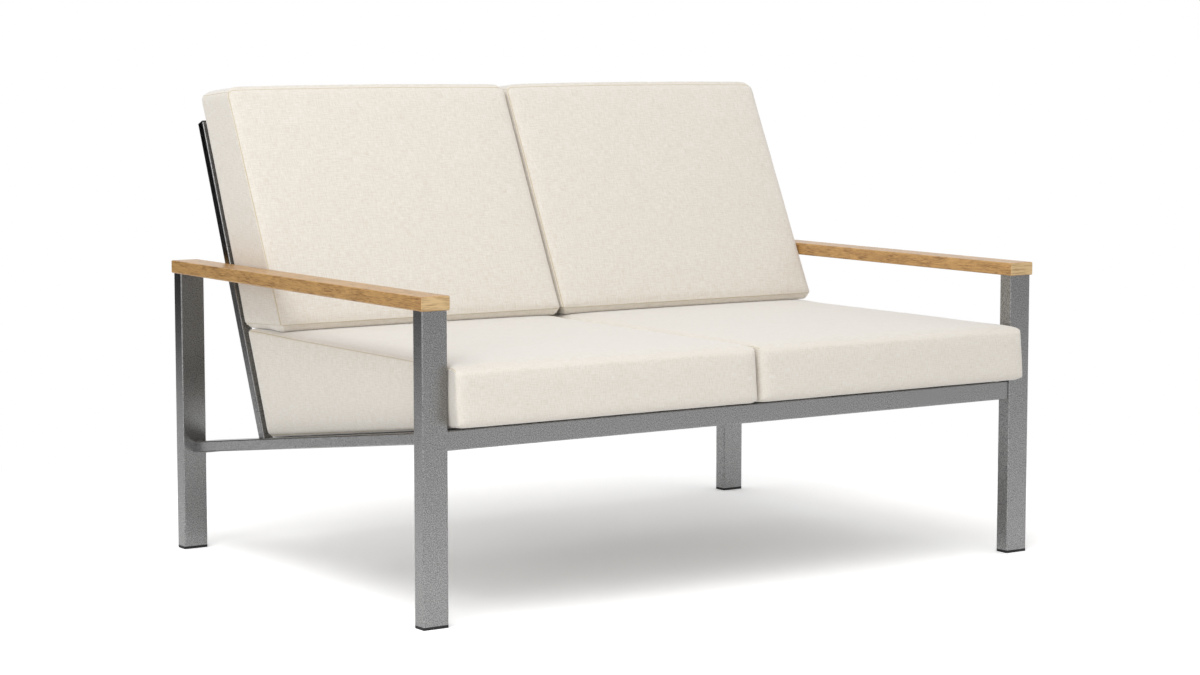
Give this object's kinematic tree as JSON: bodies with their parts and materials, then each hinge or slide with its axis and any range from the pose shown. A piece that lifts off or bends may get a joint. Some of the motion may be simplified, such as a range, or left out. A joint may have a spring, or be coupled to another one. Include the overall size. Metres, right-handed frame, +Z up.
{
  "type": "patio loveseat",
  "caption": "Outdoor sofa: metal tube frame with flat wooden armrests, loose wedge seat cushions on a sloping slatted deck, loose back cushions against a leaning slatted back.",
  "frame": {"origin": "middle of the overall footprint, on the floor", "axes": "+X to the right seen from the front, +Y toward the back, +Z up; the seat faces -Y"},
  "size_m": [1.325, 0.971, 0.8743],
  "materials": {
    "frame_metal": "satin, finely textured powder coat",
    "arm_wood": "light oiled hardwood, grain along the armrest",
    "cushion_cloth": "matte plain weave",
    "black_plastic": "matte moulded plastic",
    "screw_steel": "plain stainless"
  },
  "bodies": {
    "frame": {"arm_screws": "screw_steel", "arm_tie_bolts": "screw_steel", "armrest_left": "arm_wood", "armrest_right": "arm_wood", "back_post_left": "frame_metal", "back_post_right": "frame_metal", "back_rail_bottom": "frame_metal", "back_rail_top": "frame_metal", "back_slats": "frame_metal", "foot_front_left": "black_plastic", "foot_front_right": "black_plastic", "foot_rear_left": "black_plastic", "foot_rear_right": "black_plastic", "front_rail": "frame_metal", "leg_front_left": "frame_metal", "leg_front_right": "frame_metal", "leg_rear_left": "frame_metal", "leg_rear_right": "frame_metal", "leg_top_plates": "frame_metal", "post_caps": "black_plastic", "rear_rail": "frame_metal", "seat_centre_rail": "frame_metal", "seat_slats_left": "frame_metal", "seat_slats_right": "frame_metal", "side_rail_left": "frame_metal", "side_rail_right": "frame_metal"},
    "back_cushion_left": {"back_cushion_left": "cushion_cloth"},
    "back_cushion_right": {"back_cushion_right": "cushion_cloth"},
    "seat_cushion_left": {"seat_cushion_left": "cushion_cloth"},
    "seat_cushion_right": {"seat_cushion_right": "cushion_cloth"}
  },
  "joints": [
    {"name": "seat_cushion_left_lift", "type": "slide", "parent": "frame", "child": "seat_cushion_left", "axis": [0, 0, 1], "range_m": [0, 0.65]},
    {"name": "back_cushion_left_lift", "type": "slide", "parent": "seat_cushion_left", "child": "back_cushion_left", "axis": [0, 0, 1], "range_m": [0, 0.46]},
    {"name": "seat_cushion_right_lift", "type": "slide", "parent": "frame", "child": "seat_cushion_right", "axis": [0, 0, 1], "range_m": [0, 0.65]},
    {"name": "back_cushion_right_lift", "type": "slide", "parent": "seat_cushion_right", "child": "back_cushion_right", "axis": [0, 0, 1], "range_m": [0, 0.46]}
  ]
}
